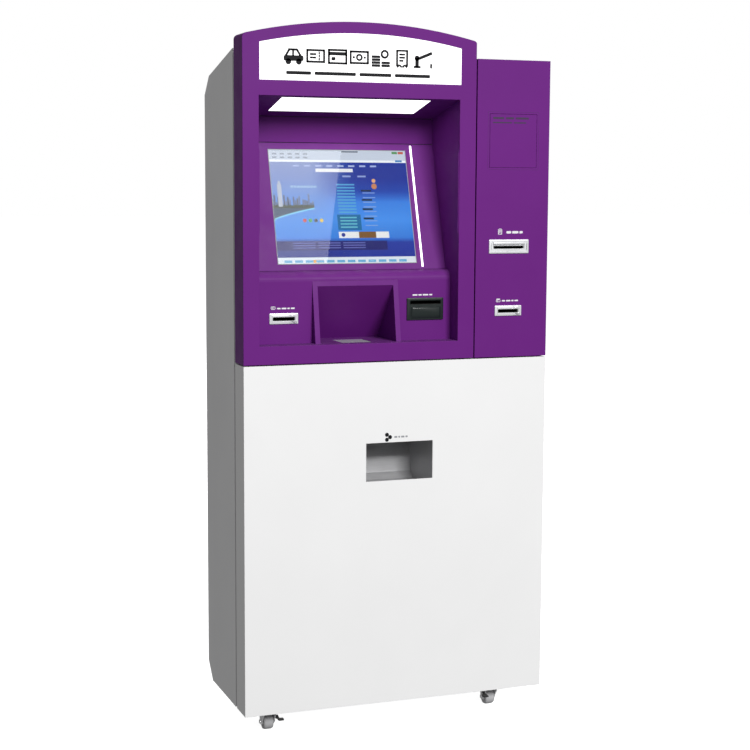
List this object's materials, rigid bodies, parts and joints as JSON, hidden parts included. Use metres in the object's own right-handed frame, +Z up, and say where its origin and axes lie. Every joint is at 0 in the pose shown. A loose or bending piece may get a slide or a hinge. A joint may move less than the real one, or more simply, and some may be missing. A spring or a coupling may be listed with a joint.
{
  "type": "parking pay station",
  "caption": "Free-standing payment cabinet on castors with a lit arched sign, sloping touch screen, card, banknote and receipt slots, change pocket and coin return cup.",
  "frame": {"origin": "on the floor under the middle of the whole object", "axes": "+Z up, the customer side faces -Y, +X is the customer's right"},
  "size_m": [0.8, 0.367, 1.7429],
  "materials": {
    "purple_paint": "satin powder coat",
    "white_paint": "satin powder coat",
    "grey_paint": "satin powder coat",
    "zinc_steel": "zinc plated",
    "bright_steel": "machined",
    "silver_bezel": "satin anodised",
    "cup_steel": "brushed stainless",
    "black_plastic": "fine texture",
    "note_plastic": "dark moulded",
    "cassette_red": "moulded",
    "sign_acrylic": "translucent white",
    "lens_acrylic": "opal",
    "led_tray": "white",
    "screen_black": "gloss",
    "touch_glass": "clear",
    "pocket_glass": "clear, greenish",
    "wheel_rubber": "grey thermoplastic rubber",
    "lock_brass": "nickel brass",
    "thermal_paper": "white roll"
  },
  "bodies": {
    "cabinet": {"left_side_panel": "grey_paint", "right_side_panel": "grey_paint", "roof_panels": "grey_paint", "rear_panel": "grey_paint", "base_pan": "grey_paint", "front_frame": "grey_paint", "device_shelf": "zinc_steel", "control_pc": "black_plastic", "power_supply": "bright_steel", "coin_hopper": "black_plastic", "coin_chute": "zinc_steel", "fan_frame": "black_plastic", "cable_gland": "black_plastic", "castor_plates": "zinc_steel", "rear_castor_forks": "zinc_steel", "castor_bolts": "bright_steel", "hinge_pins": "bright_steel", "panel_screws": "bright_steel"},
    "fan_rotor": {"fan_rotor": "black_plastic"},
    "coin_box": {"coin_box": "bright_steel"},
    "head_door": {"head_fascia": "purple_paint", "sign_panel": "sign_acrylic", "sign_backlight": "led_tray", "bay_ceiling": "purple_paint", "downlight_lens": "lens_acrylic", "bay_cheeks": "purple_paint", "bay_back": "purple_paint", "screen_panel": "purple_paint", "touch_glass": "touch_glass", "screen_module": "screen_black", "screen_trim": "lens_acrylic", "console_panel": "purple_paint", "pocket_liner": "purple_paint", "pocket_window": "pocket_glass", "ticket_card_bezel": "silver_bezel", "ticket_card_reader": "black_plastic", "note_bezel": "note_plastic", "note_acceptor": "black_plastic"},
    "note_cassette": {"note_cassette": "cassette_red"},
    "head_lock": {"head_lock": "lock_brass"},
    "column_door": {"column_fascia": "purple_paint", "notice_plate": "purple_paint", "receipt_bezel": "silver_bezel", "receipt_printer": "black_plastic", "bank_card_bezel": "silver_bezel", "bank_card_reader": "black_plastic"},
    "paper_roll": {"paper_roll": "thermal_paper"},
    "column_lock": {"column_lock": "lock_brass"},
    "lower_door": {"lower_door_panel": "white_paint", "coin_cup": "cup_steel"},
    "lower_lock": {"lower_lock": "lock_brass"},
    "left_castor": {"left_castor_fork": "zinc_steel"},
    "right_castor": {"right_castor_fork": "zinc_steel"},
    "front_left_wheel": {"front_left_wheel": "wheel_rubber"},
    "front_right_wheel": {"front_right_wheel": "wheel_rubber"},
    "rear_left_wheel": {"rear_left_wheel": "wheel_rubber"},
    "rear_right_wheel": {"rear_right_wheel": "wheel_rubber"},
    "left_brake": {"left_brake_pedal": "black_plastic"},
    "right_brake": {"right_brake_pedal": "black_plastic"}
  },
  "joints": [
    {"name": "head_door_hinge", "type": "hinge", "parent": "cabinet", "child": "head_door", "pos_m": [-0.392, -0.1045, 1.255], "axis": [0, 0, -1], "range_deg": [0, 100]},
    {"name": "column_door_hinge", "type": "hinge", "parent": "cabinet", "child": "column_door", "pos_m": [0.392, -0.1045, 1.255], "axis": [0, 0, 1], "range_deg": [0, 100]},
    {"name": "lower_door_hinge", "type": "hinge", "parent": "cabinet", "child": "lower_door", "pos_m": [-0.392, -0.1045, 0.475], "axis": [0, 0, -1], "range_deg": [0, 100]},
    {"name": "head_lock_turn", "type": "hinge", "parent": "head_door", "child": "head_lock", "pos_m": [0.188, -0.1295, 1.685], "axis": [-1, 0, 0], "range_deg": [0, 90]},
    {"name": "column_lock_turn", "type": "hinge", "parent": "column_door", "child": "column_lock", "pos_m": [0.3, -0.1295, 1.655], "axis": [0, 0, 1], "range_deg": [0, 90]},
    {"name": "lower_lock_turn", "type": "hinge", "parent": "lower_door", "child": "lower_lock", "pos_m": [0.39, -0.1295, 0.485], "axis": [-1, 0, 0], "range_deg": [0, 90]},
    {"name": "note_cassette_slide", "type": "slide", "parent": "head_door", "child": "note_cassette", "axis": [0, 1, 0], "range_m": [0, 0.07]},
    {"name": "coin_box_lift", "type": "slide", "parent": "cabinet", "child": "coin_box", "axis": [0, 0, 1], "range_m": [0, 0.12]},
    {"name": "fan_spin", "type": "hinge", "parent": "cabinet", "child": "fan_rotor", "pos_m": [0.2, 0.1665, 1.445], "axis": [0, 1, 0], "continuous": true},
    {"name": "paper_roll_spin", "type": "hinge", "parent": "column_door", "child": "paper_roll", "pos_m": [0.2915, -0.0675, 1.287], "axis": [1, 0, 0], "continuous": true},
    {"name": "left_castor_swivel", "type": "hinge", "parent": "cabinet", "child": "left_castor", "pos_m": [-0.327, -0.1275, 0.043], "axis": [0, 0, 1], "continuous": true},
    {"name": "right_castor_swivel", "type": "hinge", "parent": "cabinet", "child": "right_castor", "pos_m": [0.277, -0.1275, 0.043], "axis": [0, 0, 1], "continuous": true},
    {"name": "front_left_wheel_spin", "type": "hinge", "parent": "left_castor", "child": "front_left_wheel", "pos_m": [-0.327, -0.1175, 0.02], "axis": [1, 0, 0], "continuous": true},
    {"name": "front_right_wheel_spin", "type": "hinge", "parent": "right_castor", "child": "front_right_wheel", "pos_m": [0.277, -0.1175, 0.02], "axis": [1, 0, 0], "continuous": true},
    {"name": "rear_left_wheel_spin", "type": "hinge", "parent": "cabinet", "child": "rear_left_wheel", "pos_m": [-0.327, 0.1125, 0.02], "axis": [1, 0, 0], "continuous": true},
    {"name": "rear_right_wheel_spin", "type": "hinge", "parent": "cabinet", "child": "rear_right_wheel", "pos_m": [0.277, 0.1125, 0.02], "axis": [1, 0, 0], "continuous": true},
    {"name": "left_brake_lift", "type": "hinge", "parent": "left_castor", "child": "left_brake", "pos_m": [-0.307, -0.1355, 0.034], "axis": [-1, 0, 0], "range_deg": [0, 20]},
    {"name": "right_brake_lift", "type": "hinge", "parent": "right_castor", "child": "right_brake", "pos_m": [0.257, -0.1355, 0.034], "axis": [-1, 0, 0], "range_deg": [0, 20]}
  ]
}
